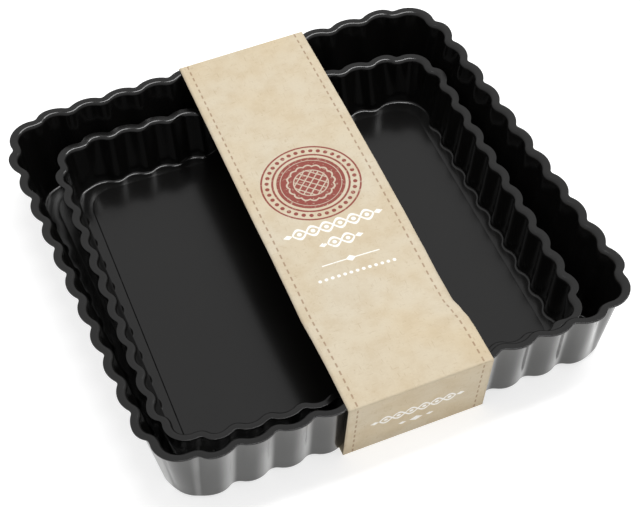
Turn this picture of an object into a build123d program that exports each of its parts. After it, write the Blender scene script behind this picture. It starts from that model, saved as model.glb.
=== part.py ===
"""Two nested square fluted loose-base tins held together by a card band.

Millimetres, +Z up. The origin is the middle of the underside of the band, on
which the tins stand. +Y runs along the band, from the front edge to the back.
"""
from build123d import *
from dataclasses import dataclass
from math import asin, cos, degrees, radians, sin
import os


@dataclass
class Tin:
    """Driving dimensions of one tin: a fluted ring and the plate that drops into it."""

    width: float  # over the flute crests of the flange
    height: float  # from the underside of the ledge to the top of the flange
    flange_width: float
    lean: float  # how far a wall comes in from the flange to the ledge
    flute_depth: float
    valley_radius: float  # at the edge of the flange; the wall's is larger by the flange's width
    flute_reach: float  # from the last flute valley to the side of the flange
    rim_corner_radius: float
    foot_corner_radius: float


# Driving dimensions
flutes_per_side = 11
sheet = 0.8  # steel sheet of rings and plates
rim_roll = 1.3  # height and width of the bend from flange to wall
foot_roll = 1.4  # height and width of the bend from wall to ledge
rim_end_angle = 16.0  # where the last valley stands on the rim corner, from the side's normal
foot_end_angle = 25.0
rim_end_depth = 3.1  # depth of the last valley at the rim
foot_end_depth = 0.3
plate_margin = 4.6  # from the wall's foot to the edge of the loose plate
seat_overlap = 4.0  # how far the plate lies on the ledge
nest_gap = 14.7  # between the flange edges of the two tins, on each side
nest_drop = 11.9  # from the top of the outer flange down to the top of the inner one
nest_shift = 1.4  # the inner tin lies this far in front of the outer one's middle
turn_clearance = 0.2  # left between the turned inner flange and the front wall's valleys

outer = Tin(
    width=230.0,
    height=40.0,
    flange_width=2.25,
    lean=8.15,
    flute_depth=2.6,
    valley_radius=2.5,
    flute_reach=20.0,
    rim_corner_radius=26.5,
    foot_corner_radius=18.5,
)
inner = Tin(
    width=outer.width - 2 * nest_gap,
    height=outer.height - 2 * sheet - nest_drop,
    flange_width=2.25,
    lean=4.95,
    flute_depth=2.3,
    valley_radius=2.2,
    flute_reach=17.5,
    rim_corner_radius=23.3,
    foot_corner_radius=16.5,
)

card = 0.5  # card of the band
band_width = 67.0
band_offset = 8.2  # the band's middle line crosses the X axis here
band_turn = -2.4  # its long edges stand turned by this, degrees about +Z
band_clearance = 0.4  # between the band and the crests of the flange it passes
band_slack = 2.0  # between the band's lower folds and the foot of the tin

# Heights of the stack, from the underside of the band
outer_seat = card
outer_plate_seat = outer_seat + sheet
inner_seat = outer_plate_seat + sheet
inner_plate_seat = inner_seat + sheet


def flute_pitch(tin):
    """From one valley of a side to the next."""
    return (tin.width - 2 * tin.flute_reach) / flutes_per_side


def fluted_outline(tin, crest_half, corner_radius, end_angle, end_depth, valley_radius):
    """Closed line of arcs round one level of a ring; crests stand crest_half from the middle."""
    pitch = flute_pitch(tin)
    radii = ((pitch / 2) ** 2 + tin.flute_depth**2) / (2 * tin.flute_depth)
    turn = asin(pitch / 2 / radii)
    shoulder_out = valley_radius * sin(turn)
    shoulder_up = valley_radius * (1 - cos(turn))
    centre = crest_half - corner_radius
    end_radius = corner_radius - end_depth
    end_up = shoulder_up * min(end_depth / tin.flute_depth, 1)
    angle = radians(end_angle)

    # Valleys from left to right: place, outward distance, slope angle and shoulder height
    valleys = [(-centre - end_radius * sin(angle), centre + end_radius * cos(angle), angle, end_up)]
    for index in range(1, flutes_per_side):
        place = (index - flutes_per_side / 2) * pitch
        valleys.append((place, crest_half - tin.flute_depth, 0, shoulder_up))
    valleys.append((-valleys[0][0], valleys[0][1], -angle, end_up))

    def on_side(along, outward, side):
        """A point of the front side, carried round to another side."""
        quarter = radians(90 * side)
        return (
            along * cos(quarter) + outward * sin(quarter),
            along * sin(quarter) - outward * cos(quarter),
        )

    def shoulder(valley, step, side):
        """The point where a valley's arc meets the crest arc before (-1) or after (1) it."""
        along, outward, slope, up = valley
        return on_side(
            along + step * shoulder_out * cos(slope) - up * sin(slope),
            outward + step * shoulder_out * sin(slope) + up * cos(slope),
            side,
        )

    corner_crest = centre + corner_radius * cos(radians(45))
    with BuildLine() as outline:
        for side in range(4):
            for valley in valleys:
                ThreePointArc(
                    shoulder(valley, -1, side),
                    on_side(valley[0], valley[1], side),
                    shoulder(valley, 1, side),
                )
            for before, after in zip(valleys, valleys[1:]):
                crest = ((before[0] + after[0]) / 2, crest_half)
                ThreePointArc(
                    shoulder(before, 1, side),
                    on_side(*crest, side),
                    shoulder(after, -1, side),
                )
            ThreePointArc(
                shoulder(valleys[-1], 1, side),
                on_side(corner_crest, corner_crest, side),
                shoulder(valleys[0], -1, side + 1),
            )
    return outline.line


def wall_outline(tin, down, inset):
    """Outline of the wall, down from the flange (0) to the ledge (1), set in by inset."""
    crest_half = tin.width / 2 - tin.flange_width - tin.lean * down - inset
    rim_radius = tin.rim_corner_radius - tin.flange_width
    corner_radius = rim_radius + (tin.foot_corner_radius - rim_radius) * down - inset
    end_angle = rim_end_angle + (foot_end_angle - rim_end_angle) * down
    end_depth = rim_end_depth + (foot_end_depth - rim_end_depth) * down
    valley_radius = tin.valley_radius + tin.flange_width
    return fluted_outline(tin, crest_half, corner_radius, end_angle, end_depth, valley_radius)


def flange_outline(tin):
    """Outline of the flange's outer edge."""
    return fluted_outline(
        tin, tin.width / 2, tin.rim_corner_radius, rim_end_angle, rim_end_depth, tin.valley_radius
    )


def inside_half(tin, height):
    """Half the clear width between opposite valleys of the wall, at a height above its seat."""
    low = foot_roll + sheet
    high = tin.height - rim_roll
    drawn_in = tin.lean + (rim_roll - tin.lean) * (height - low) / (high - low)
    return tin.width / 2 - tin.flange_width - drawn_in - sheet - tin.flute_depth


def make_ring(tin, seat, name):
    """The fluted ring: flange, leaning wall and the ledge that carries the plate."""
    drawn_in = foot_roll + sheet
    with BuildPart() as ring:
        with BuildSketch(seat):
            add(wall_outline(tin, 1, foot_roll))
            make_face()
        with BuildSketch(seat.offset(foot_roll)):
            add(wall_outline(tin, 1, 0))
            make_face()
        with BuildSketch(seat.offset(tin.height - rim_roll - sheet)):
            add(wall_outline(tin, 0, rim_roll))
            make_face()
        with BuildSketch(seat.offset(tin.height - sheet)):
            add(wall_outline(tin, 0, 0))
            make_face()
        loft(ruled=True)
        with BuildSketch(seat.offset(tin.height - sheet)):
            add(flange_outline(tin))
            make_face()
        extrude(amount=sheet)
        with BuildSketch(seat.offset(sheet)):
            add(wall_outline(tin, 1, drawn_in))
            make_face()
        with BuildSketch(seat.offset(drawn_in)):
            add(wall_outline(tin, 1, sheet))
            make_face()
        with BuildSketch(seat.offset(tin.height - rim_roll)):
            add(wall_outline(tin, 0, rim_roll + sheet))
            make_face()
        with BuildSketch(seat.offset(tin.height)):
            add(wall_outline(tin, 0, 0))
            make_face()
        loft(ruled=True, mode=Mode.SUBTRACT)
        opening_half = inside_half(tin, foot_roll + sheet) - plate_margin - seat_overlap
        with BuildSketch(seat):
            RectangleRounded(
                2 * opening_half, 2 * opening_half, tin.foot_corner_radius - plate_margin - seat_overlap
            )
        extrude(amount=sheet, mode=Mode.SUBTRACT)
    ring.part.label = name
    return ring.part


def make_plate(tin, seat, name):
    """The loose flat plate, lying on the ledge of its ring."""
    plate_half = inside_half(tin, foot_roll + sheet) - plate_margin
    with BuildPart() as plate:
        with BuildSketch(seat):
            RectangleRounded(2 * plate_half, 2 * plate_half, tin.foot_corner_radius - plate_margin)
        extrude(amount=sheet)
    plate.part.label = name
    return plate.part


# The inner tin stands turned until its end flutes come near the outer wall
inner_rim_height = inner_seat - outer_seat + inner.height - sheet
clear_half = inside_half(outer, inner_rim_height) - nest_shift - turn_clearance
turning_room = clear_half - inner.width / 2
inner_turn = -degrees(turning_room / (flute_pitch(inner) * (flutes_per_side - 1) / 2))
turned = Plane((0, -nest_shift, 0)).rotated((0, 0, inner_turn))
outer_ring = make_ring(outer, Plane.XY.offset(outer_seat), "outer_ring")
outer_base = make_plate(outer, Plane.XY.offset(outer_plate_seat), "outer_base")
inner_ring = make_ring(inner, turned.offset(inner_seat), "inner_ring")
inner_base = make_plate(inner, turned.offset(inner_plate_seat), "inner_base")

# The band: a closed loop of card that follows the flange at the top and the foot below
band_top = outer_seat + outer.height
top_half = outer.width / 2 + band_clearance
bottom_half = outer.width / 2 - outer.flange_width - outer.lean + band_slack
with BuildPart() as card_band:
    with BuildSketch(Plane.YZ):
        with BuildLine():
            Polyline(
                (-bottom_half, card),
                (bottom_half, card),
                (top_half, band_top),
                (-top_half, band_top),
                close=True,
            )
        make_face()
        offset(amount=card, kind=Kind.INTERSECTION)
        with BuildLine():
            Polyline(
                (-bottom_half, card),
                (bottom_half, card),
                (top_half, band_top),
                (-top_half, band_top),
                close=True,
            )
        make_face(mode=Mode.SUBTRACT)
    extrude(amount=outer.width, both=True)
    middle = Plane((band_offset, 0, 0), z_dir=(cos(radians(band_turn)), sin(radians(band_turn)), 0))
    split(bisect_by=middle.offset(band_width / 2), keep=Keep.BOTTOM)
    split(bisect_by=middle.offset(-band_width / 2), keep=Keep.TOP)
card_band.part.label = "card_band"

os.makedirs("parts", exist_ok=True)
for piece in (outer_ring, outer_base, inner_ring, inner_base, card_band.part):
    export_step(piece, f"parts/{piece.label}.step")
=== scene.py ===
"""Looks of two nested square fluted baking tins in a printed card sleeve.

Every length is in metres, in the frame of the CAD model: +Z up, +Y along the
sleeve from the front edge to the back, the origin in the middle of the
underside. The pieces are shells and sheets made with bmesh operators.
"""

import logging
import math
from dataclasses import dataclass
from enum import Enum
from typing import Iterable, Union

import bmesh
import bpy
from mathutils import Matrix, Vector


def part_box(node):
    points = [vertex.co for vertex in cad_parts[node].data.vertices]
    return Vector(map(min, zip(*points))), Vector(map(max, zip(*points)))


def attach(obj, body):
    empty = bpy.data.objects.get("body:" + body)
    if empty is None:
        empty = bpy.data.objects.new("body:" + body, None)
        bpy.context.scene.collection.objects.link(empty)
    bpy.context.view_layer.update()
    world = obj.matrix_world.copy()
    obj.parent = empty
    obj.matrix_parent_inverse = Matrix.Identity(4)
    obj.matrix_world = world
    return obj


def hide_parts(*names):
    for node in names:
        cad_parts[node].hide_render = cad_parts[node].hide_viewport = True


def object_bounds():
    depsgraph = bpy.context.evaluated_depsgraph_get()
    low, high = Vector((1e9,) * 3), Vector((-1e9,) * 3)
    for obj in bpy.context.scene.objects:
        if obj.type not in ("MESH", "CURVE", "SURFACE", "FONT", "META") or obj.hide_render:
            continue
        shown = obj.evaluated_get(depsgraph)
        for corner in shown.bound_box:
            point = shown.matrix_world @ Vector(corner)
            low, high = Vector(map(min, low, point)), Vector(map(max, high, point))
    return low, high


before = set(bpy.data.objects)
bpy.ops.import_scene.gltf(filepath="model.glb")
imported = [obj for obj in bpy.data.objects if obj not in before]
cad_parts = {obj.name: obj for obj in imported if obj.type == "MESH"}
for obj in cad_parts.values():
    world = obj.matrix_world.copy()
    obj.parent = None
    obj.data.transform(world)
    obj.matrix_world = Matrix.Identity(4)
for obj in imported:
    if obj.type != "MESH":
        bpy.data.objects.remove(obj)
CAD_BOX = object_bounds()
MM = 0.001
# Vertex attribute that holds each step's nearness to the painted reflection stripe on its flute
PAINTED_REFLECTION = "pressed"
SHARP = math.radians(60)
LOG = logging.getLogger("tins")


# --------------------------------------------------------------------------
# Shader sums
# --------------------------------------------------------------------------


class Sum:
    """A number that varies over a surface, with the usual operators."""

    def __init__(self, shader: "Shader", socket: bpy.types.NodeSocket) -> None:
        """Wraps an output socket of a shader's node tree.

        Args:
            shader: the material that owns the node.
            socket: the output socket.
        """
        self.shader = shader
        self.socket = socket

    def _with(self, operation: str, *others: Union["Sum", float]) -> "Sum":
        """Adds one Math node whose first input is this value.

        Args:
            operation: the node's operation.
            others: its other inputs.

        Returns:
            The node's value.
        """
        values = {0: self.socket}
        for place, other in enumerate(others, start=1):
            values[place] = other.socket if isinstance(other, Sum) else other
        return self.shader.value("ShaderNodeMath", {"operation": operation}, values)

    def _after(self, operation: str, first: float) -> "Sum":
        """Adds one Math node whose second input is this value."""
        return self.shader.value("ShaderNodeMath", {"operation": operation}, {0: first, 1: self.socket})

    def __add__(self, other: Union["Sum", float]) -> "Sum":
        """self + other."""
        return self._with("ADD", other)

    def __radd__(self, other: float) -> "Sum":
        """other + self."""
        return self._with("ADD", other)

    def __sub__(self, other: Union["Sum", float]) -> "Sum":
        """self - other."""
        return self._with("SUBTRACT", other)

    def __rsub__(self, other: float) -> "Sum":
        """other - self."""
        return self._after("SUBTRACT", other)

    def __mul__(self, other: Union["Sum", float]) -> "Sum":
        """self * other."""
        return self._with("MULTIPLY", other)

    def __rmul__(self, other: float) -> "Sum":
        """other * self."""
        return self._with("MULTIPLY", other)

    def __truediv__(self, other: Union["Sum", float]) -> "Sum":
        """self / other."""
        return self._with("DIVIDE", other)

    def __rtruediv__(self, other: float) -> "Sum":
        """other / self."""
        return self._after("DIVIDE", other)

    def __abs__(self) -> "Sum":
        """The value without its sign."""
        return self._with("ABSOLUTE")

    def sin(self) -> "Sum":
        """Sine of the value in radians."""
        return self._with("SINE")

    def root(self) -> "Sum":
        """Square root."""
        return self._with("SQRT")

    def angle_to(self, other: "Sum") -> "Sum":
        """Angle of the point (other, self) about the origin, in radians."""
        return self._with("ARCTAN2", other)

    def repeat(self, period: float) -> "Sum":
        """Distance to the nearest whole number of periods, from 0 to half a period."""
        return self._with("PINGPONG", period / 2)

    def largest(self, other: Union["Sum", float]) -> "Sum":
        """The larger of two values."""
        return self._with("MAXIMUM", other)

    def smallest(self, other: Union["Sum", float]) -> "Sum":
        """The smaller of two values."""
        return self._with("MINIMUM", other)

    def under(self, limit: float, edge: float) -> "Sum":
        """1 where the value is under a limit and 0 above it.

        Args:
            limit: where the mask is half way.
            edge: the width over which it changes.

        Returns:
            The mask.
        """
        return self.shader.value(
            "ShaderNodeMapRange",
            {"interpolation_type": "SMOOTHSTEP"},
            {0: self.socket, 1: limit - edge / 2, 2: limit + edge / 2, 3: 1.0, 4: 0.0},
        )

    def over(self, limit: float, edge: float) -> "Sum":
        """1 where the value is over a limit and 0 below it, softly over the width of edge."""
        return 1 - self.under(limit, edge)


class Shader:
    """A material and the nodes that make it."""

    def __init__(self, name: str) -> None:
        """Makes an empty material with one Principled shader.

        Args:
            name: the material's name.
        """
        self.material = bpy.data.materials.new(name)
        self.material.use_nodes = True
        self.tree = self.material.node_tree
        self.tree.nodes.clear()
        self.output = self.node("ShaderNodeOutputMaterial")
        self.surface = self.node("ShaderNodeBsdfPrincipled")
        self.link(self.surface.outputs[0], self.output.inputs[0])

    def link(self, start: bpy.types.NodeSocket, end: bpy.types.NodeSocket) -> None:
        """Joins an output socket to an input socket."""
        self.tree.links.new(start, end)

    def node(self, kind: str, settings: dict = {}, values: dict = {}) -> bpy.types.Node:
        """Adds a node.

        Args:
            kind: the node's type.
            settings: its own properties, set first.
            values: its input sockets, by name or number, as numbers, colours or links.

        Returns:
            The node.
        """
        made = self.tree.nodes.new(kind)
        for key, setting in settings.items():
            setattr(made, key, setting)
        for key, value in values.items():
            if isinstance(value, Sum):
                value = value.socket
            if isinstance(value, bpy.types.NodeSocket):
                self.link(value, made.inputs[key])
            else:
                made.inputs[key].default_value = value
        return made

    def value(
        self, kind: str, settings: dict = {}, values: dict = {}, output: Union[int, str] = 0
    ) -> Sum:
        """Adds a node and wraps one of its outputs.

        Args:
            kind: the node's type.
            settings: its own properties.
            values: its input sockets.
            output: the output that is wrapped.

        Returns:
            The wrapped output.
        """
        return Sum(self, self.node(kind, settings, values).outputs[output])

    def place(self) -> bpy.types.NodeSocket:
        """The point on the surface, in the object's own metres."""
        return self.node("ShaderNodeTexCoord").outputs["Object"]

    def noise(
        self, place: bpy.types.NodeSocket, scale: float, detail: float = 2.0, rough: float = 0.5
    ) -> Sum:
        """Smooth noise about 0.5.

        Args:
            place: where it is read.
            scale: waves a metre.
            detail: how many finer layers are added.
            rough: the share of each finer layer.

        Returns:
            The noise.
        """
        values = {"Vector": place, "Scale": scale, "Detail": detail, "Roughness": rough}
        return self.value("ShaderNodeTexNoise", {}, values)

    def stretched(self, place: bpy.types.NodeSocket, scale: tuple) -> bpy.types.NodeSocket:
        """The place with each axis multiplied by its own factor."""
        return self.node("ShaderNodeMapping", {}, {"Vector": place, "Scale": scale}).outputs[0]

    def mix(self, share: Union[Sum, float], first: object, second: object) -> bpy.types.NodeSocket:
        """A blend of two colours.

        Args:
            share: how much of the second colour, from 0 to 1.
            first: a colour or a colour socket.
            second: another.

        Returns:
            The blended colour's socket.
        """
        values = {}
        for key, value in ((0, share), (6, first), (7, second)):
            values[key] = (*value, 1.0) if isinstance(value, tuple) else value
        return self.node("ShaderNodeMix", {"data_type": "RGBA"}, values).outputs[2]

    def bump(self, height: Sum, distance: float, strength: float = 1.0) -> None:
        """Feeds the surface's normal from a height.

        Args:
            height: the height.
            distance: its unit, in metres.
            strength: how much of it shows.
        """
        made = self.node(
            "ShaderNodeBump", {}, {"Height": height, "Distance": distance, "Strength": strength}
        )
        self.link(made.outputs[0], self.surface.inputs["Normal"])

    def set(self, **values: object) -> None:
        """Sets or links inputs of the Principled shader.

        Args:
            values: the inputs by name, where an underscore stands for a space.
        """
        for key, value in values.items():
            socket = self.surface.inputs[key.replace("_", " ")]
            if isinstance(value, Sum):
                value = value.socket
            if isinstance(value, bpy.types.NodeSocket):
                self.link(value, socket)
            else:
                socket.default_value = (*value, 1.0) if isinstance(value, tuple) else value


# --------------------------------------------------------------------------
# Finishes
# --------------------------------------------------------------------------


@dataclass(frozen=True)
class NonStick:
    """Black baked-on non-stick coating: satin, with a fine orange peel."""

    name: str = "non_stick"
    colour: tuple = (0.0022, 0.0021, 0.0020)
    worn_colour: tuple = (0.0042, 0.0040, 0.0038)
    roughness: float = 0.20
    roughness_spread: float = 0.08
    peel_scale: float = 900.0
    peel_height: float = 0.006 * MM
    grain_scale: float = 3500.0
    grain_roughness: float = 0.06
    cloud_scale: float = 22.0

    def make(self) -> bpy.types.Material:
        """Builds the material.

        Returns:
            The material.
        """
        shader = Shader(self.name)
        place = shader.place()
        cloud = shader.noise(place, self.cloud_scale, 3.0)
        grain = shader.noise(place, self.grain_scale, 1.0)
        peel = shader.noise(place, self.peel_scale, 2.0)
        shader.set(
            Base_Color=shader.mix(cloud * 0.6 + grain * 0.4, self.colour, self.worn_colour),
            Roughness=self.roughness
            + (cloud - 0.5) * self.roughness_spread
            + (grain - 0.5) * self.grain_roughness,
        )
        shader.bump(peel * 0.7 + grain * 0.3, self.peel_height)
        return shader.material


@dataclass(frozen=True)
class SilverCoat:
    """Silver-grey metallic coating of the outside of the walls.

    The bright stripe on one flank of each flute is painted to stand in for a glancing reflection.
    It isn't known to be a mark on the metal, and it doesn't move with the light.
    """

    name: str = "silver_coat"
    colour: tuple = (0.125, 0.125, 0.123)
    shade: tuple = (0.09, 0.09, 0.088)
    # Painted reflection: the stripe's colour, and where and over what width it fades in
    painted_reflection_colour: tuple = (0.42, 0.42, 0.415)
    roughness: float = 0.24
    smoother: float = 0.10
    metallic: float = 0.9
    painted_reflection_from: float = 0.66
    painted_reflection_edge: float = 0.66
    uneven_scale: float = 160.0
    flake_scale: float = 4200.0
    cloud_scale: float = 30.0
    cloud_roughness: float = 0.12
    drawn_scale: float = 900.0
    drawn_roughness: float = 0.08
    grain_height: float = 0.004 * MM

    def make(self) -> bpy.types.Material:
        """Builds the material.

        Returns:
            The material.
        """
        shader = Shader(self.name)
        place = shader.place()
        flake = shader.noise(place, self.flake_scale, 1.0)
        cloud = shader.noise(place, self.cloud_scale, 3.0)
        drawn = shader.noise(shader.stretched(place, (1.0, 1.0, 0.12)), self.drawn_scale, 2.0)
        # Each vertex's nearness to its flute's painted reflection stripe, stored on the ring
        pressed = shader.value("ShaderNodeAttribute", {"attribute_name": PAINTED_REFLECTION}, {}, "Fac")
        uneven = shader.noise(shader.stretched(place, (1.0, 1.0, 0.3)), self.uneven_scale, 2.0)
        # Painted reflection: a lighter, smoother stripe on one flank of each flute, made uneven by noise
        stripe = pressed.over(self.painted_reflection_from, self.painted_reflection_edge) * (uneven * 0.9 + 0.4)
        plain = shader.mix(flake * 0.5 + cloud * 0.5, self.shade, self.colour)
        shader.set(
            Base_Color=shader.mix(stripe, plain, self.painted_reflection_colour),
            Metallic=self.metallic,
            Roughness=self.roughness
            + (cloud - 0.5) * self.cloud_roughness
            + (drawn - 0.5) * self.drawn_roughness
            - stripe * self.smoother,
        )
        shader.bump(drawn * 0.6 + flake * 0.4, self.grain_height)
        return shader.material


@dataclass(frozen=True)
class PrintedCard:
    """Kraft card with two dashed stitch lines, a round badge and white ornaments.

    Places along the strip are counted from the middle of the top panel, towards the back.
    """

    name: str = "printed_kraft"
    printed: bool = True
    light: tuple = (0.565, 0.505, 0.395)
    warm: tuple = (0.555, 0.46, 0.315)
    dark: tuple = (0.44, 0.35, 0.235)
    fibre: tuple = (0.36, 0.27, 0.17)
    stitch_ink: tuple = (0.19, 0.085, 0.042)
    badge_ink: tuple = (0.22, 0.035, 0.03)
    white_ink: tuple = (0.86, 0.85, 0.82)
    width: float = 67 * MM
    stitch_inset: float = 4.3 * MM
    stitch_period: float = 4.55 * MM
    stitch_length: float = 2.5 * MM
    stitch_width: float = 0.75 * MM
    badge_at: float = 15.5 * MM
    disc_radius: float = 16.4 * MM
    badge_radius: float = 24.0 * MM
    dots: int = 36
    dot_radius: float = 1.05 * MM
    scallops: float = 8.0
    scallop_radius: float = 10.6 * MM
    scallop_depth: float = 0.9 * MM
    lattice_radius: float = 8.2 * MM
    lattice_pitch: float = 4.4 * MM
    # Garlands: place along the strip, length and height; buds: place along, place across and size
    garlands: tuple = (
        (-13.3 * MM, 40 * MM, 6.6 * MM),
        (-23.3 * MM, 13.2 * MM, 6.2 * MM),
        (-136.0 * MM, 36 * MM, 5.8 * MM),
    )
    buds: tuple = (
        (-13.3 * MM, 22.2 * MM, 2.3 * MM),
        (-23.3 * MM, 8.8 * MM, 2.1 * MM),
        (-136.0 * MM, 20.2 * MM, 2.1 * MM),
        (-145.0 * MM, 0.0, 3.2 * MM),
        (-145.0 * MM, 6.5 * MM, 1.9 * MM),
    )
    rule_at: float = -35.0 * MM
    rule_half: float = 14 * MM
    rule_width: float = 0.6 * MM
    lozenge_half: float = 2.6 * MM
    beads_at: float = -43.0 * MM
    beads_half: float = 19.4 * MM
    bead_pitch: float = 3.0 * MM
    bead_radius: float = 0.85 * MM
    wear_scale: float = 650.0
    pulp_height: float = 0.05 * MM
    roughness: float = 0.88
    shine: float = 0.25
    edge: float = 0.28 * MM
    # Where the card starts to grow warmer and darker towards both ends of the strip, and over what length
    end_warmth_from: float = 80 * MM
    end_warmth_edge: float = 90 * MM

    def make(self) -> bpy.types.Material:
        """Builds the material.

        Returns:
            The material.
        """
        shader = Shader(self.name)
        chart = shader.node("ShaderNodeUVMap", {"uv_map": "strip"}).outputs[0]
        apart = shader.node("ShaderNodeSeparateXYZ", {}, {0: chart})
        across = Sum(shader, apart.outputs[0])
        along = Sum(shader, apart.outputs[1])
        colour = self._card(shader, chart, along)
        if self.printed:
            colour = self._print(shader, chart, across, along, colour)
        shader.set(Base_Color=colour, Roughness=self.roughness, Specular_IOR_Level=self.shine)
        pulp = shader.noise(chart, 1400.0, 3.0, 0.6)
        shader.bump(pulp, self.pulp_height, 0.6)
        return shader.material

    def _print(
        self,
        shader: Shader,
        chart: bpy.types.NodeSocket,
        across: Sum,
        along: Sum,
        colour: bpy.types.NodeSocket,
    ) -> bpy.types.NodeSocket:
        """Lays the print over the bare card.

        Args:
            shader: the material.
            chart: the place on the strip.
            across: distance across the card.
            along: distance along it.
            colour: the bare card's colour.

        Returns:
            The colour's socket.
        """
        worn = shader.noise(chart, self.wear_scale, 3.0, 0.65).under(0.66, 0.22)
        colour = shader.mix(self._stitches(across, along) * worn * 0.6, colour, self.stitch_ink)
        red, cream = self._badge(across, along - self.badge_at)
        colour = shader.mix(red * worn * 0.93, colour, self.badge_ink)
        colour = shader.mix(cream * 0.8, colour, self.light)
        return shader.mix(self._ornaments(across, along) * worn * 0.9, colour, self.white_ink)

    def _card(self, shader: Shader, chart: bpy.types.NodeSocket, along: Sum) -> bpy.types.NodeSocket:
        """The bare card: warm clouds, blotches, pulp, specks and a few darker fibres.

        Args:
            shader: the material.
            chart: the place on the strip.
            along: distance along the strip, which is warmer and darker towards both ends.

        Returns:
            The colour's socket.
        """
        cloud = shader.noise(chart, 24.0, 3.0, 0.6)
        blotch = shader.noise(chart, 95.0, 4.0, 0.65)
        pulp = shader.noise(chart, 900.0, 3.0, 0.7)
        end_warmth = abs(along).over(self.end_warmth_from, self.end_warmth_edge)
        colour = shader.mix(cloud.over(0.5, 0.35) * 0.65 + end_warmth * 0.35, self.light, self.warm)
        colour = shader.mix(blotch.over(0.54, 0.32) * 0.3 + (pulp - 0.35) * 0.4, colour, self.dark)
        speck = shader.noise(chart, 420.0, 2.0, 0.5).under(0.3, 0.08)
        colour = shader.mix(speck * 0.3, colour, self.fibre)
        for factors in ((1.0, 0.12, 1.0), (0.14, 1.0, 1.0)):
            strand = shader.noise(shader.stretched(chart, factors), 1500.0, 2.0, 0.5)
            colour = shader.mix(strand.under(0.33, 0.06) * 0.3, colour, self.fibre)
        return colour

    def _stitches(self, across: Sum, along: Sum) -> Sum:
        """Two dashed lines, one beside each long edge.

        Args:
            across: distance across the card.
            along: distance along it.

        Returns:
            The mask of the ink.
        """
        from_line = abs(abs(across) - (self.width / 2 - self.stitch_inset))
        dash = along.repeat(self.stitch_period)
        line = from_line.under(self.stitch_width / 2, self.edge)
        return line * dash.under(self.stitch_length / 2, self.edge * 1.6)

    def _ring(self, radius: Sum, middle: float, width: float) -> Sum:
        """A thin printed ring."""
        return abs(radius - middle).under(width / 2, self.edge)

    def _badge(self, across: Sum, along: Sum) -> tuple:
        """The round badge: rings, a border of dots and a fluted tart seen from above.

        Args:
            across: distance across the card from the badge's middle.
            along: distance along it.

        Returns:
            The masks of the red ink and of the bare card left inside it.
        """
        radius = (across * across + along * along).root()
        angle = along.angle_to(across)
        red = radius.under(self.disc_radius, self.edge)
        red = red.largest(self._ring(radius, self.disc_radius + 1.9 * MM, 1.0 * MM))
        red = red.largest(self._ring(radius, self.badge_radius - 0.45 * MM, 0.9 * MM))
        dot_angle = angle.repeat(math.tau / self.dots)
        dot_ring = self.badge_radius - 3.1 * MM
        from_ring = radius - dot_ring
        from_dot = (from_ring * from_ring + dot_angle * dot_angle * dot_ring**2).root()
        red = red.largest(from_dot.under(self.dot_radius, self.edge))
        flute = (angle * self.scallops).sin()
        scallop = radius - abs(flute) * self.scallop_depth
        cream = self._ring(scallop, self.scallop_radius, 0.9 * MM)
        cream = cream.largest(self._ring(radius, self.lattice_radius, 0.6 * MM))
        rising = (across + along).repeat(self.lattice_pitch)
        lattice = rising.smallest((across - along).repeat(self.lattice_pitch)).under(0.42 * MM, self.edge)
        cream = cream.largest(lattice * radius.under(self.lattice_radius, self.edge))
        cream = cream.largest(self._ring(radius, self.disc_radius - 1.8 * MM, 0.35 * MM))
        return red, cream

    def _garland(self, across: Sum, along: Sum, middle: float, length: float, height: float) -> Sum:
        """Two crossing waves with a dot in each loop, ending where they cross.

        Args:
            across: distance across the card.
            along: distance along it.
            middle: where the garland lies along the card.
            length: its length, across the card, a whole number of loops.
            height: its height.

        Returns:
            The mask of the ink.
        """
        loops = round(length / height)
        loop = length / loops
        swing = (across + length / 2) * (math.pi / loop)
        wave = swing.sin() * (height * 0.43)
        rise = along - middle
        line = abs(rise - wave).smallest(abs(rise + wave))
        to_dot = (across + length / 2 + loop / 2).repeat(loop)
        from_dot = (to_dot * to_dot + rise * rise).root()
        mask = line.under(height * 0.11, self.edge).largest(from_dot.under(height * 0.17, self.edge))
        return mask * abs(across).under(length / 2, self.edge)

    def _bud(self, across: Sum, along: Sum, middle: float, place: float, size: float) -> Sum:
        """A pair of lozenges, one at each side, that ends a garland.

        Args:
            across: distance across the card.
            along: distance along it.
            middle: where they lie along the card.
            place: their distance from the middle line.
            size: half their length.

        Returns:
            The mask of the ink.
        """
        return (abs(abs(across) - place) + abs(along - middle) * 1.6).under(size, self.edge)

    def _ornaments(self, across: Sum, along: Sum) -> Sum:
        """Garlands on the top and on the front flap, a rule with a lozenge, and a row of beads.

        Args:
            across: distance across the card.
            along: distance along it.

        Returns:
            The mask of the ink.
        """
        rule = along - self.rule_at
        ink = (abs(across) + abs(rule) * 1.4).under(self.lozenge_half, self.edge)
        hair = abs(rule).under(self.rule_width / 2, self.edge)
        ink = ink.largest(hair * abs(across).under(self.rule_half, self.edge))
        to_bead, from_row = across.repeat(self.bead_pitch), along - self.beads_at
        bead = (to_bead * to_bead + from_row * from_row).root().under(self.bead_radius, self.edge)
        ink = ink.largest(bead * abs(across).under(self.beads_half, self.edge))
        for garland in self.garlands:
            ink = ink.largest(self._garland(across, along, *garland))
        for bud in self.buds:
            ink = ink.largest(self._bud(across, along, *bud))
        return ink


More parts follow.
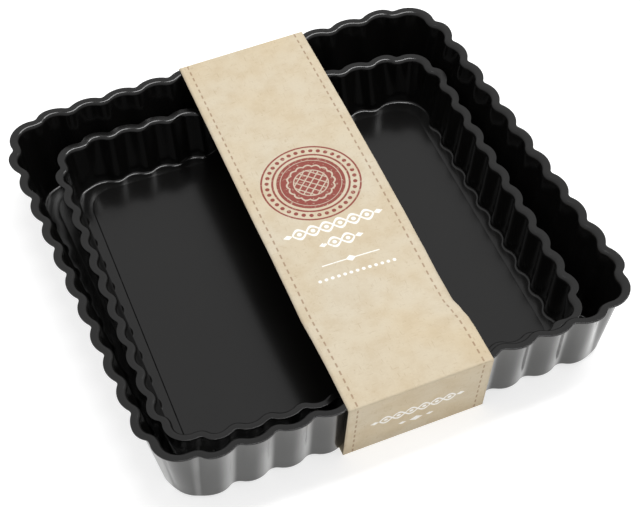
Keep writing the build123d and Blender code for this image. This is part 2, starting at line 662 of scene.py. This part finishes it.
@dataclass(frozen=True)
class PaleFloor:
    """Plain pale floor."""

    name: str = "pale_floor"
    colour: tuple = (0.56, 0.56, 0.56)
    dusty: tuple = (0.54, 0.54, 0.54)
    dust_scale: float = 8.0
    roughness: float = 0.9
    shine: float = 0.1
    lift: float = 0.66

    def make(self) -> bpy.types.Material:
        """Builds the material.

        Returns:
            The material.
        """
        shader = Shader(self.name)
        dust = shader.noise(shader.place(), self.dust_scale, 2.0)
        shader.set(
            Base_Color=shader.mix(dust * 0.3, self.colour, self.dusty),
            Roughness=self.roughness,
            Specular_IOR_Level=self.shine,
            Emission_Color=(1.0, 1.0, 1.0),
            Emission_Strength=self.lift,
        )
        return shader.material


class Finish(Enum):
    """The finishes of the set."""

    NON_STICK = NonStick()
    SILVER = SilverCoat()
    CARD = PrintedCard()
    CARD_BACK = PrintedCard(name="plain_kraft", printed=False)
    FLOOR = PaleFloor()

    def material(self) -> bpy.types.Material:
        """The finish's material, built once."""
        return bpy.data.materials.get(self.value.name) or self.value.make()


# --------------------------------------------------------------------------
# Meshes
# --------------------------------------------------------------------------


def piece_from(bm: bmesh.types.BMesh, name: str, finishes: Iterable[Finish]) -> bpy.types.Object:
    """Turns a bmesh into a piece of the set.

    Args:
        bm: the mesh, which is freed.
        name: the piece's name.
        finishes: its material slots, in order.

    Returns:
        The object, at the origin.
    """
    mesh = bpy.data.meshes.new(name)
    bm.to_mesh(mesh)
    bm.free()
    for finish in finishes:
        mesh.materials.append(finish.material())
    made = bpy.data.objects.new(name, mesh)
    bpy.context.scene.collection.objects.link(made)
    return made


def declare(piece: bpy.types.Object, node: str) -> None:
    """Says which body a piece rides on, which CAD node it stands for.

    Args:
        piece: the piece.
        node: the CAD node, which is also the body.
    """
    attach(piece, node)
    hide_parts(node)
    LOG.info("%s: %d vertices", piece.name, len(piece.data.vertices))


@dataclass(frozen=True)
class Level:
    """One closed line round a tin: a rounded square whose edge is pressed into flutes."""

    crest_half: float
    corner_radius: float
    height: float
    valley_radius: float = 1.0 * MM
    depth: float = 0.0
    end_depth: float = 0.0
    end_angle: float = math.radians(16)


@dataclass(frozen=True)
class FlutedTin:
    """One tin: a fluted ring of sheet steel and the loose plate that lies in it."""

    ring_node: str
    plate_node: str
    slot: str
    width: float
    height: float
    seat: float
    turn: float
    middle: tuple
    flange_width: float
    lean: float
    depth: float
    valley_radius: float
    flute_reach: float
    rim_corner_radius: float
    foot_corner_radius: float
    flutes: int = 11
    sheet: float = 0.8 * MM
    rim_roll: float = 1.3 * MM
    rim_fall: float = 2.2 * MM
    flat_guard: float = 0.25 * MM
    foot_roll: float = 1.4 * MM
    plate_margin: float = 4.6 * MM
    seat_overlap: float = 4.0 * MM
    rim_end_angle: float = math.radians(16)
    foot_end_angle: float = math.radians(25)
    rim_end_depth: float = 3.1 * MM
    foot_end_depth: float = 0.3 * MM
    # Painted reflection: where its stripe lies on each flute, as a share of a flute
    painted_reflection_flank: float = 0.22
    steps_per_flute: int = 16
    crowding: float = 0.45
    edge_break: float = 0.24 * MM
    plate_stride: int = 4
    bend_steps: int = 7
    wall_steps: int = 6

    @property
    def steps(self) -> int:
        """Points on a line round the ring: each side has its flutes and one corner."""
        return 4 * (self.flutes + 1) * self.steps_per_flute

    @property
    def pitch(self) -> float:
        """From one valley of a side to the next."""
        return (self.width - 2 * self.flute_reach) / self.flutes

    def press(self, share: float, valley_radius: float) -> float:
        """How far the flute is pressed in, from 1 at a valley to 0 at the crest.

        Args:
            share: the place between two valleys, from 0 to 1.
            valley_radius: the radius of the valley, which the crest's arc meets.

        Returns:
            The depth as a share of the flute's depth.
        """
        radii = ((self.pitch / 2) ** 2 + self.depth**2) / (2 * self.depth)
        crest_radius = radii - valley_radius
        from_valley = min(share, 1 - share) * self.pitch
        if from_valley < valley_radius * self.pitch / 2 / radii:
            rise = valley_radius - math.sqrt(valley_radius**2 - from_valley**2)
            return 1 - rise / self.depth
        from_crest = self.pitch / 2 - from_valley
        return (crest_radius - math.sqrt(crest_radius**2 - from_crest**2)) / self.depth

    def point(self, level: Level, step: int) -> Vector:
        """The place of one step round a level.

        Args:
            level: the line.
            step: the step, counted from the front side's first valley.

        Returns:
            The point.
        """
        per_side = (self.flutes + 1) * self.steps_per_flute
        side, step = divmod(step, per_side)
        flute, step = divmod(step, self.steps_per_flute)
        even = step / self.steps_per_flute
        share = even - self.crowding * math.sin(math.tau * even) / math.tau
        centre = level.crest_half - level.corner_radius
        last = centre + level.corner_radius * level.end_angle
        valleys = [-last]
        valleys += [(index - self.flutes / 2) * self.pitch for index in range(1, self.flutes)]
        valleys += [last, centre + level.corner_radius * (math.pi / 2 - level.end_angle)]
        along = valleys[flute] + (valleys[flute + 1] - valleys[flute]) * share
        depths = (
            level.end_depth if flute in (0, self.flutes) else level.depth,
            level.end_depth if flute >= self.flutes - 1 else level.depth,
        )
        pressed = depths[share > 0.5] * self.press(share, level.valley_radius)
        turned = max(abs(along) - centre, 0) / level.corner_radius * (1 if along > 0 else -1)
        middle = Vector((max(-centre, min(centre, along)), -centre, level.height))
        outward = Vector((math.sin(turned), -math.cos(turned), 0))
        placed = middle + outward * (level.corner_radius - pressed)
        turned = Matrix.Rotation(math.radians(90 * side) + self.turn, 3, "Z")
        return Vector((*self.middle, 0)) + turned @ placed

    # Nearness to the painted reflection stripe; no mark of the press
    def pressed(self, step: int) -> float:
        """How near a step is to its flute's painted reflection stripe, from 1 on it to 0 half a flute
        away.

        The long flute round a corner has the painted reflection only at its ends.

        Args:
            step: the step, counted from the front side's first valley.

        Returns:
            The nearness.
        """
        flute, share = divmod(step / self.steps_per_flute, 1)
        near = abs(2 * ((share + self.painted_reflection_flank) % 1) - 1)
        return near * abs(2 * share - 1) if flute % (self.flutes + 1) == self.flutes else near

    def wall_level(self, down: float, inset: float, height: float) -> Level:
        """A level of the wall.

        Args:
            down: 0 at the flange, 1 at the ledge.
            inset: how far it is set in from the wall's outer face.
            height: its height above the tin's seat.

        Returns:
            The level.
        """
        rim_radius = self.rim_corner_radius - self.flange_width
        return Level(
            crest_half=self.width / 2 - self.flange_width - self.lean * down - inset,
            corner_radius=rim_radius + (self.foot_corner_radius - rim_radius) * down - inset,
            height=self.seat + height,
            valley_radius=self.valley_radius + self.flange_width + inset,
            depth=self.depth,
            end_depth=self.rim_end_depth + (self.foot_end_depth - self.rim_end_depth) * down,
            end_angle=self.rim_end_angle + (self.foot_end_angle - self.rim_end_angle) * down,
        )

    def rounded_level(self, half: float, corner_radius: float, height: float) -> Level:
        """A plain rounded square."""
        return Level(crest_half=half, corner_radius=corner_radius, height=self.seat + height)

    def foot_half(self) -> float:
        """Half the clear width between opposite valleys, just above the ledge."""
        return self.width / 2 - self.flange_width - self.lean - self.depth - self.sheet

    def ring_levels(self) -> list:
        """The ring's inner face, from the edge of the ledge up the wall and out over the flange.

        Returns:
            The levels, in order.
        """
        opening = self.foot_half() - self.plate_margin - self.seat_overlap
        corner = self.foot_corner_radius - self.plate_margin - self.seat_overlap
        levels = [
            self.rounded_level(opening, corner, self.sheet),
            self.wall_level(1, self.sheet + self.foot_roll + self.flat_guard, self.sheet),
        ]
        for step in range(self.bend_steps + 1):
            bend = math.pi / 2 * step / self.bend_steps
            inset = self.sheet + self.foot_roll * (1 - math.sin(bend))
            height = self.sheet + self.foot_roll * (1 - math.cos(bend))
            levels.append(self.wall_level(1, inset, height))
        low = self.sheet + self.foot_roll
        high = self.height - self.rim_fall
        for step in range(1, self.wall_steps):
            share = step / self.wall_steps
            inset = self.sheet + self.rim_roll * share
            levels.append(self.wall_level(1 - share, inset, low + (high - low) * share))
        for step in range(self.bend_steps + 1):
            bend = math.pi / 2 * step / self.bend_steps
            inset = (self.sheet + self.rim_roll) * math.cos(bend)
            levels.append(self.wall_level(0, inset, high + self.rim_fall * math.sin(bend)))
        for share in (0.1, 0.9, 1.0):
            levels.append(self.wall_level(0, -self.flange_width * share, self.height))
        return levels

    def build_ring(self) -> bpy.types.Object:
        """The fluted ring: one sheet, drawn level by level and then given its thickness.

        Returns:
            The piece.
        """
        levels = self.ring_levels()
        bm = bmesh.new()
        place = bm.verts.layers.int.new("step")
        # Each vertex keeps its nearness to the painted reflection stripe, for the silver coat
        pressed = bm.verts.layers.float.new(PAINTED_REFLECTION)
        made = bmesh.ops.create_circle(bm, segments=self.steps, radius=1)
        for step, vert in enumerate(made["verts"]):
            vert[place] = step
            vert[pressed] = self.pressed(step)
            vert.co = self.point(levels[0], step)
        edges = list(bm.edges)
        for level in levels[1:]:
            grown = bmesh.ops.extrude_edge_only(bm, edges=edges)["geom"]
            edges = [item for item in grown if isinstance(item, bmesh.types.BMEdge)]
            for vert in (item for item in grown if isinstance(item, bmesh.types.BMVert)):
                vert.co = self.point(level, vert[place])
                vert[pressed] = self.pressed(vert[place])
            edges = [edge for edge in edges if len(edge.link_faces) == 1]
        bm.faces.ensure_lookup_table()
        bm.normal_update()
        if bm.faces[0].normal.z < 0:
            bmesh.ops.reverse_faces(bm, faces=list(bm.faces))
        for face in bm.faces:
            face.smooth = True
        ring = piece_from(bm, self.ring_node + "_sheet", (Finish.NON_STICK, Finish.SILVER))
        thick = ring.modifiers.new("sheet", "SOLIDIFY")
        thick.thickness = self.sheet
        thick.offset = -1
        thick.use_even_offset = True
        thick.material_offset = 1
        soft = ring.modifiers.new("edge", "BEVEL")
        soft.width = self.edge_break
        soft.segments = 2
        soft.limit_method = "ANGLE"
        soft.angle_limit = SHARP
        declare(ring, self.ring_node)
        return ring

    def build_plate(self) -> bpy.types.Object:
        """The loose plate, with its edge broken.

        Returns:
            The piece.
        """
        half = self.foot_half() - self.plate_margin
        corner = self.foot_corner_radius - self.plate_margin
        bm = bmesh.new()
        low = self.rounded_level(half, corner, self.sheet)
        made = bmesh.ops.create_circle(
            bm, segments=self.steps // self.plate_stride, radius=1, cap_ends=True
        )
        for step, vert in enumerate(made["verts"]):
            vert.co = self.point(low, step * self.plate_stride)
        lid = bmesh.ops.extrude_face_region(bm, geom=list(bm.faces))["geom"]
        moved = [item for item in lid if isinstance(item, bmesh.types.BMVert)]
        bmesh.ops.translate(bm, verts=moved, vec=(0, 0, self.sheet))
        bmesh.ops.recalc_face_normals(bm, faces=list(bm.faces))
        rims = [edge for edge in bm.edges if edge.calc_face_angle(0) > SHARP]
        bmesh.ops.bevel(
            bm, geom=rims, offset=self.edge_break, segments=3, profile=0.5, affect="EDGES", material=-1
        )
        for face in bm.faces:
            face.smooth = len(face.verts) == 4
        plate = piece_from(bm, self.plate_node + "_sheet", (Finish.NON_STICK,))
        declare(plate, self.plate_node)
        return plate

    def build(self) -> None:
        """Builds the ring and its plate."""
        self.build_ring()
        self.build_plate()


@dataclass(frozen=True)
class CardSleeve:
    """The card sleeve: one strip folded round the tins and glued to itself underneath."""

    width: float = 67 * MM
    offset: float = 8.2 * MM
    turn: float = math.radians(-2.4)
    card: float = 0.5 * MM
    foot_half: float = 106.6 * MM
    fold_radius: float = 0.7 * MM
    seam: float = 20.0 * MM
    # How far each line of the top sags: place behind the tins' middle and drop, in millimetres
    right_sag: tuple = (
        (-97, 0.0), (-90, 0.7), (-82, 3.3), (-72, 6.9), (-58, 6.6),
        (-38, 4.7), (-14, 2.8), (20, 1.3), (60, 0.3), (90, 0.0),
    )
    left_sag: tuple = ((-92, 0.0), (-76, 1.0), (-60, 3.0), (-38, 1.3), (-15, 0.0))
    middle_sag: tuple = ((-95, 0.0), (-60, 0.9), (0, 1.1), (60, 0.8), (105, 0.0))
    back_taper: float = 1.5 * MM
    sag_spread: float = 2.2
    across_steps: int = 40
    row_length: float = 1.6 * MM
    fold_steps: int = 8

    def corners(self) -> list:
        """The middle of the card in the YZ plane, from the seam underneath round to the seam.

        Returns:
            The corners of the folded strip.
        """
        low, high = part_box("card_band")
        half = self.card / 2
        foot = self.foot_half + half
        top = high.y - half
        return [
            Vector((self.seam, half)),
            Vector((foot, half)),
            Vector((top, high.z - half)),
            Vector((-top, high.z - half)),
            Vector((-foot, half)),
            Vector((self.seam, half)),
        ]

    def outline(self) -> list:
        """The same line with its folds rounded.

        Returns:
            The points, closely spaced in the folds.
        """
        corners = self.corners()
        line = [corners[0]]
        for before, corner, after in zip(corners, corners[1:], corners[2:]):
            back, on = (before - corner).normalized(), (after - corner).normalized()
            half_turn = (math.pi - back.angle(on)) / 2
            reach = self.fold_radius * math.tan(half_turn)
            for step in range(self.fold_steps + 1):
                share = step / self.fold_steps
                start, end = corner + back * reach, corner + on * reach
                first, second = start.lerp(corner, share), corner.lerp(end, share)
                line.append(first.lerp(second, share))
        line.append(corners[-1])
        return line

    @staticmethod
    def read_line(line: tuple, place: float) -> float:
        """A line through (place, value) pairs, both in millimetres, that eases into and out of each pair.

        Args:
            line: the pairs, by rising place.
            place: where it is read, in metres.

        Returns:
            The value in metres.
        """
        place /= MM
        if place <= line[0][0]:
            return line[0][1] * MM
        for (start, low), (end, high) in zip(line, line[1:]):
            if place <= end:
                share = (place - start) / (end - start)
                return (low + (high - low) * (share * 0.4 + share * share * (3 - 2 * share) * 0.6)) * MM
        return line[-1][1] * MM

    def sagged(self, across: float, along: float) -> float:
        """How far the top panel hangs below the rims.

        Args:
            across: distance to the right of the sleeve's middle line.
            along: distance behind the tins' middle.

        Returns:
            The drop.
        """
        side = max(0.0, min(1.0, 0.5 + across / self.width))
        right = self.read_line(self.right_sag, along) * side**self.sag_spread
        left = self.read_line(self.left_sag, along) * (1 - side) ** self.sag_spread
        middle = self.read_line(self.middle_sag, along) * 4 * side * (1 - side)
        return right + left + middle

    def rows(self) -> list:
        """The outline's points, with more put in until no step along the card is long.

        Returns:
            The points.
        """
        line = self.outline()
        rows = [line[0]]
        for before, after in zip(line, line[1:]):
            steps = max(1, math.ceil((after - before).length / self.row_length))
            rows += [before.lerp(after, step / steps) for step in range(1, steps + 1)]
        return rows

    def build(self) -> bpy.types.Object:
        """Builds the strip as a grid, wraps it round the outline and gives it its thickness.

        Returns:
            The piece.
        """
        rows = self.rows()
        lengths = [0.0]
        for before, after in zip(rows, rows[1:]):
            lengths.append(lengths[-1] + (after - before).length)
        top_height = self.corners()[2].y
        middle = next(
            length + point.x for length, point in zip(lengths, rows)
            if abs(point.y - top_height) < self.card / 10 and point.x > 0
        )
        bm = bmesh.new()
        last = len(rows) - 1
        bmesh.ops.create_grid(bm, x_segments=self.across_steps, y_segments=last, size=0.5)
        chart = bm.loops.layers.uv.new("strip")
        wanted = {}
        for vert in bm.verts:
            across = vert.co.x * self.width
            row = round((vert.co.y + 0.5) * last)
            wanted[vert.index] = (across, middle - lengths[row])
            vert.co = self.placed(across, rows[row], rows[row].y > top_height - self.card / 10)
        for face in bm.faces:
            face.smooth = True
            for loop in face.loops:
                loop[chart].uv = wanted[loop.vert.index]
        bmesh.ops.remove_doubles(bm, verts=list(bm.verts), dist=self.card / 100)
        bm.normal_update()
        lowest = min(bm.faces, key=lambda face: face.calc_center_median().z)
        if lowest.normal.z > 0:
            bmesh.ops.reverse_faces(bm, faces=list(bm.faces))
        sleeve = piece_from(bm, "card_band_strip", (Finish.CARD, Finish.CARD_BACK))
        thick = sleeve.modifiers.new("card", "SOLIDIFY")
        thick.thickness = self.card
        thick.offset = 0
        thick.use_even_offset = True
        thick.material_offset = 1
        declare(sleeve, "card_band")
        return sleeve

    def placed(self, across: float, point: Vector, on_top: bool) -> Vector:
        """The place of one point of the card.

        Args:
            across: distance to the right of the sleeve's middle line.
            point: its place in the YZ plane.
            on_top: whether it is on the top panel, which sags.

        Returns:
            The place.
        """
        drop = self.sagged(across, point.x) if on_top else 0.0
        side = 0.5 - across / self.width
        drawn_in = self.back_taper * side * max(0.0, point.x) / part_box("card_band")[1].y
        aside = self.offset + (across + drawn_in) / math.cos(self.turn) - point.x * math.tan(self.turn)
        return Vector((aside, point.x, point.y - drop))


# --------------------------------------------------------------------------
# Studio
# --------------------------------------------------------------------------


@dataclass(frozen=True)
class Lamp:
    """A soft rectangular lamp that looks at the middle of the set.

    Its energy follows from its size and radiance, so that a larger lamp isn't dimmer.
    """

    name: str
    place: tuple
    size: tuple
    radiance: float

    def build(self) -> None:
        """Adds the lamp, with its first side as level as its aim allows."""
        data = bpy.data.lights.new(self.name, "AREA")
        data.shape = "RECTANGLE"
        data.size, data.size_y = self.size
        data.energy = self.radiance * math.pi * self.size[0] * self.size[1]
        lamp = bpy.data.objects.new(self.name, data)
        back = Vector(self.place).normalized()
        side = Vector((0, 1, 0)).cross(back).normalized()
        lamp.location = self.place
        lamp.rotation_mode = "QUATERNION"
        lamp.rotation_quaternion = Matrix((side, back.cross(side), back)).transposed().to_quaternion()
        bpy.context.scene.collection.objects.link(lamp)


@dataclass(frozen=True)
class Studio:
    """Pale floor, soft light and the camera."""

    azimuth: float = math.radians(-21.417)
    elevation: float = math.radians(46.827)
    roll: float = math.radians(-2.628)
    distance: float = 832.1 * MM
    aim: tuple = (-5.344 * MM, -28.309 * MM)
    lens: float = 104.90
    sensor: float = 36.0
    lamp: Lamp = Lamp("overhead", (0.42, 0.07, 1.30), (1.3, 0.30), 13.0)
    floor_half: float = 12.0
    floor_gap: float = 0.2 * MM
    # The surround: its strength high up and near the horizon, and the heights between
    world_strength: float = 0.68
    low_strength: float = 0.38
    dark_below: float = 0.15
    bright_above: float = 0.6

    def build(self) -> None:
        """Builds the floor, the light and the camera."""
        self.build_floor()
        self.build_light()
        self.build_camera()

    def build_floor(self) -> None:
        """The floor, a hair below the set's underside."""
        bm = bmesh.new()
        bmesh.ops.create_grid(bm, x_segments=1, y_segments=1, size=self.floor_half)
        bmesh.ops.translate(bm, verts=list(bm.verts), vec=(0, 0, CAD_BOX[0].z - self.floor_gap))
        piece_from(bm, "floor", (Finish.FLOOR,))

    def build_light(self) -> None:
        """A pale surround that darkens towards the horizon, and one soft lamp."""
        world = bpy.data.worlds.new("studio")
        world.use_nodes = True
        nodes, links = world.node_tree.nodes, world.node_tree.links
        surround = nodes["Background"]
        surround.inputs[0].default_value = (1.0, 1.0, 1.0, 1.0)
        place = nodes.new("ShaderNodeTexCoord")
        apart = nodes.new("ShaderNodeSeparateXYZ")
        rise = nodes.new("ShaderNodeMapRange")
        rise.interpolation_type = "SMOOTHSTEP"
        limits = (self.dark_below, self.bright_above, self.low_strength, self.world_strength)
        for socket, value in enumerate(limits, start=1):
            rise.inputs[socket].default_value = value
        links.new(place.outputs["Generated"], apart.inputs[0])
        links.new(apart.outputs["Z"], rise.inputs[0])
        links.new(rise.outputs[0], surround.inputs[1])
        bpy.context.scene.world = world
        self.lamp.build()

    def build_camera(self) -> None:
        """The camera."""
        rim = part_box("outer_ring")[1].z
        back = Vector(
            (
                math.sin(self.azimuth) * math.cos(self.elevation),
                -math.cos(self.azimuth) * math.cos(self.elevation),
                math.sin(self.elevation),
            )
        )
        right = Vector((0, 0, 1)).cross(back).normalized()
        up = back.cross(right)
        turned = Matrix.Rotation(self.roll, 3, back)
        right, up = turned @ right, turned @ up
        data = bpy.data.cameras.new("camera")
        data.lens = self.lens
        data.sensor_width = self.sensor
        data.clip_start = 0.01
        camera = bpy.data.objects.new("camera", data)
        camera.location = Vector((*self.aim, rim)) + back * self.distance
        camera.rotation_mode = "QUATERNION"
        camera.rotation_quaternion = Matrix((right, up, back)).transposed().to_quaternion()
        bpy.context.scene.collection.objects.link(camera)
        bpy.context.scene.camera = camera


def middle_of(low: Vector, high: Vector) -> tuple:
    """The middle of a box, seen from above.

    Args:
        low: the box's low corner.
        high: its high corner.

    Returns:
        The middle's place along X and Y.
    """
    return ((low.x + high.x) / 2, (low.y + high.y) / 2)


def main() -> None:
    """Builds the tins, the sleeve and the studio."""
    logging.basicConfig(level=logging.INFO, format="%(message)s")
    bpy.context.scene.view_settings.view_transform = "Standard"
    outer_low, outer_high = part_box("outer_ring")
    outer = FlutedTin(
        ring_node="outer_ring",
        plate_node="outer_base",
        slot="coated_steel_outer",
        width=230 * MM,
        height=outer_high.z - outer_low.z,
        seat=outer_low.z,
        turn=0.0,
        middle=middle_of(outer_low, outer_high),
        flange_width=2.25 * MM,
        lean=8.15 * MM,
        depth=2.6 * MM,
        valley_radius=2.5 * MM,
        flute_reach=20.0 * MM,
        rim_corner_radius=26.5 * MM,
        foot_corner_radius=18.5 * MM,
    )
    inner_low, inner_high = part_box("inner_ring")
    inner = FlutedTin(
        ring_node="inner_ring",
        plate_node="inner_base",
        slot="coated_steel_inner",
        width=200.6 * MM,
        height=inner_high.z - inner_low.z,
        seat=inner_low.z,
        turn=math.radians(-3.054),
        middle=middle_of(inner_low, inner_high),
        flange_width=2.25 * MM,
        lean=4.95 * MM,
        depth=2.3 * MM,
        valley_radius=2.2 * MM,
        flute_reach=17.5 * MM,
        rim_corner_radius=23.3 * MM,
        foot_corner_radius=16.5 * MM,
    )
    for part in (outer, inner, CardSleeve(), Studio()):
        part.build()


if __name__ == "__main__":
    main()
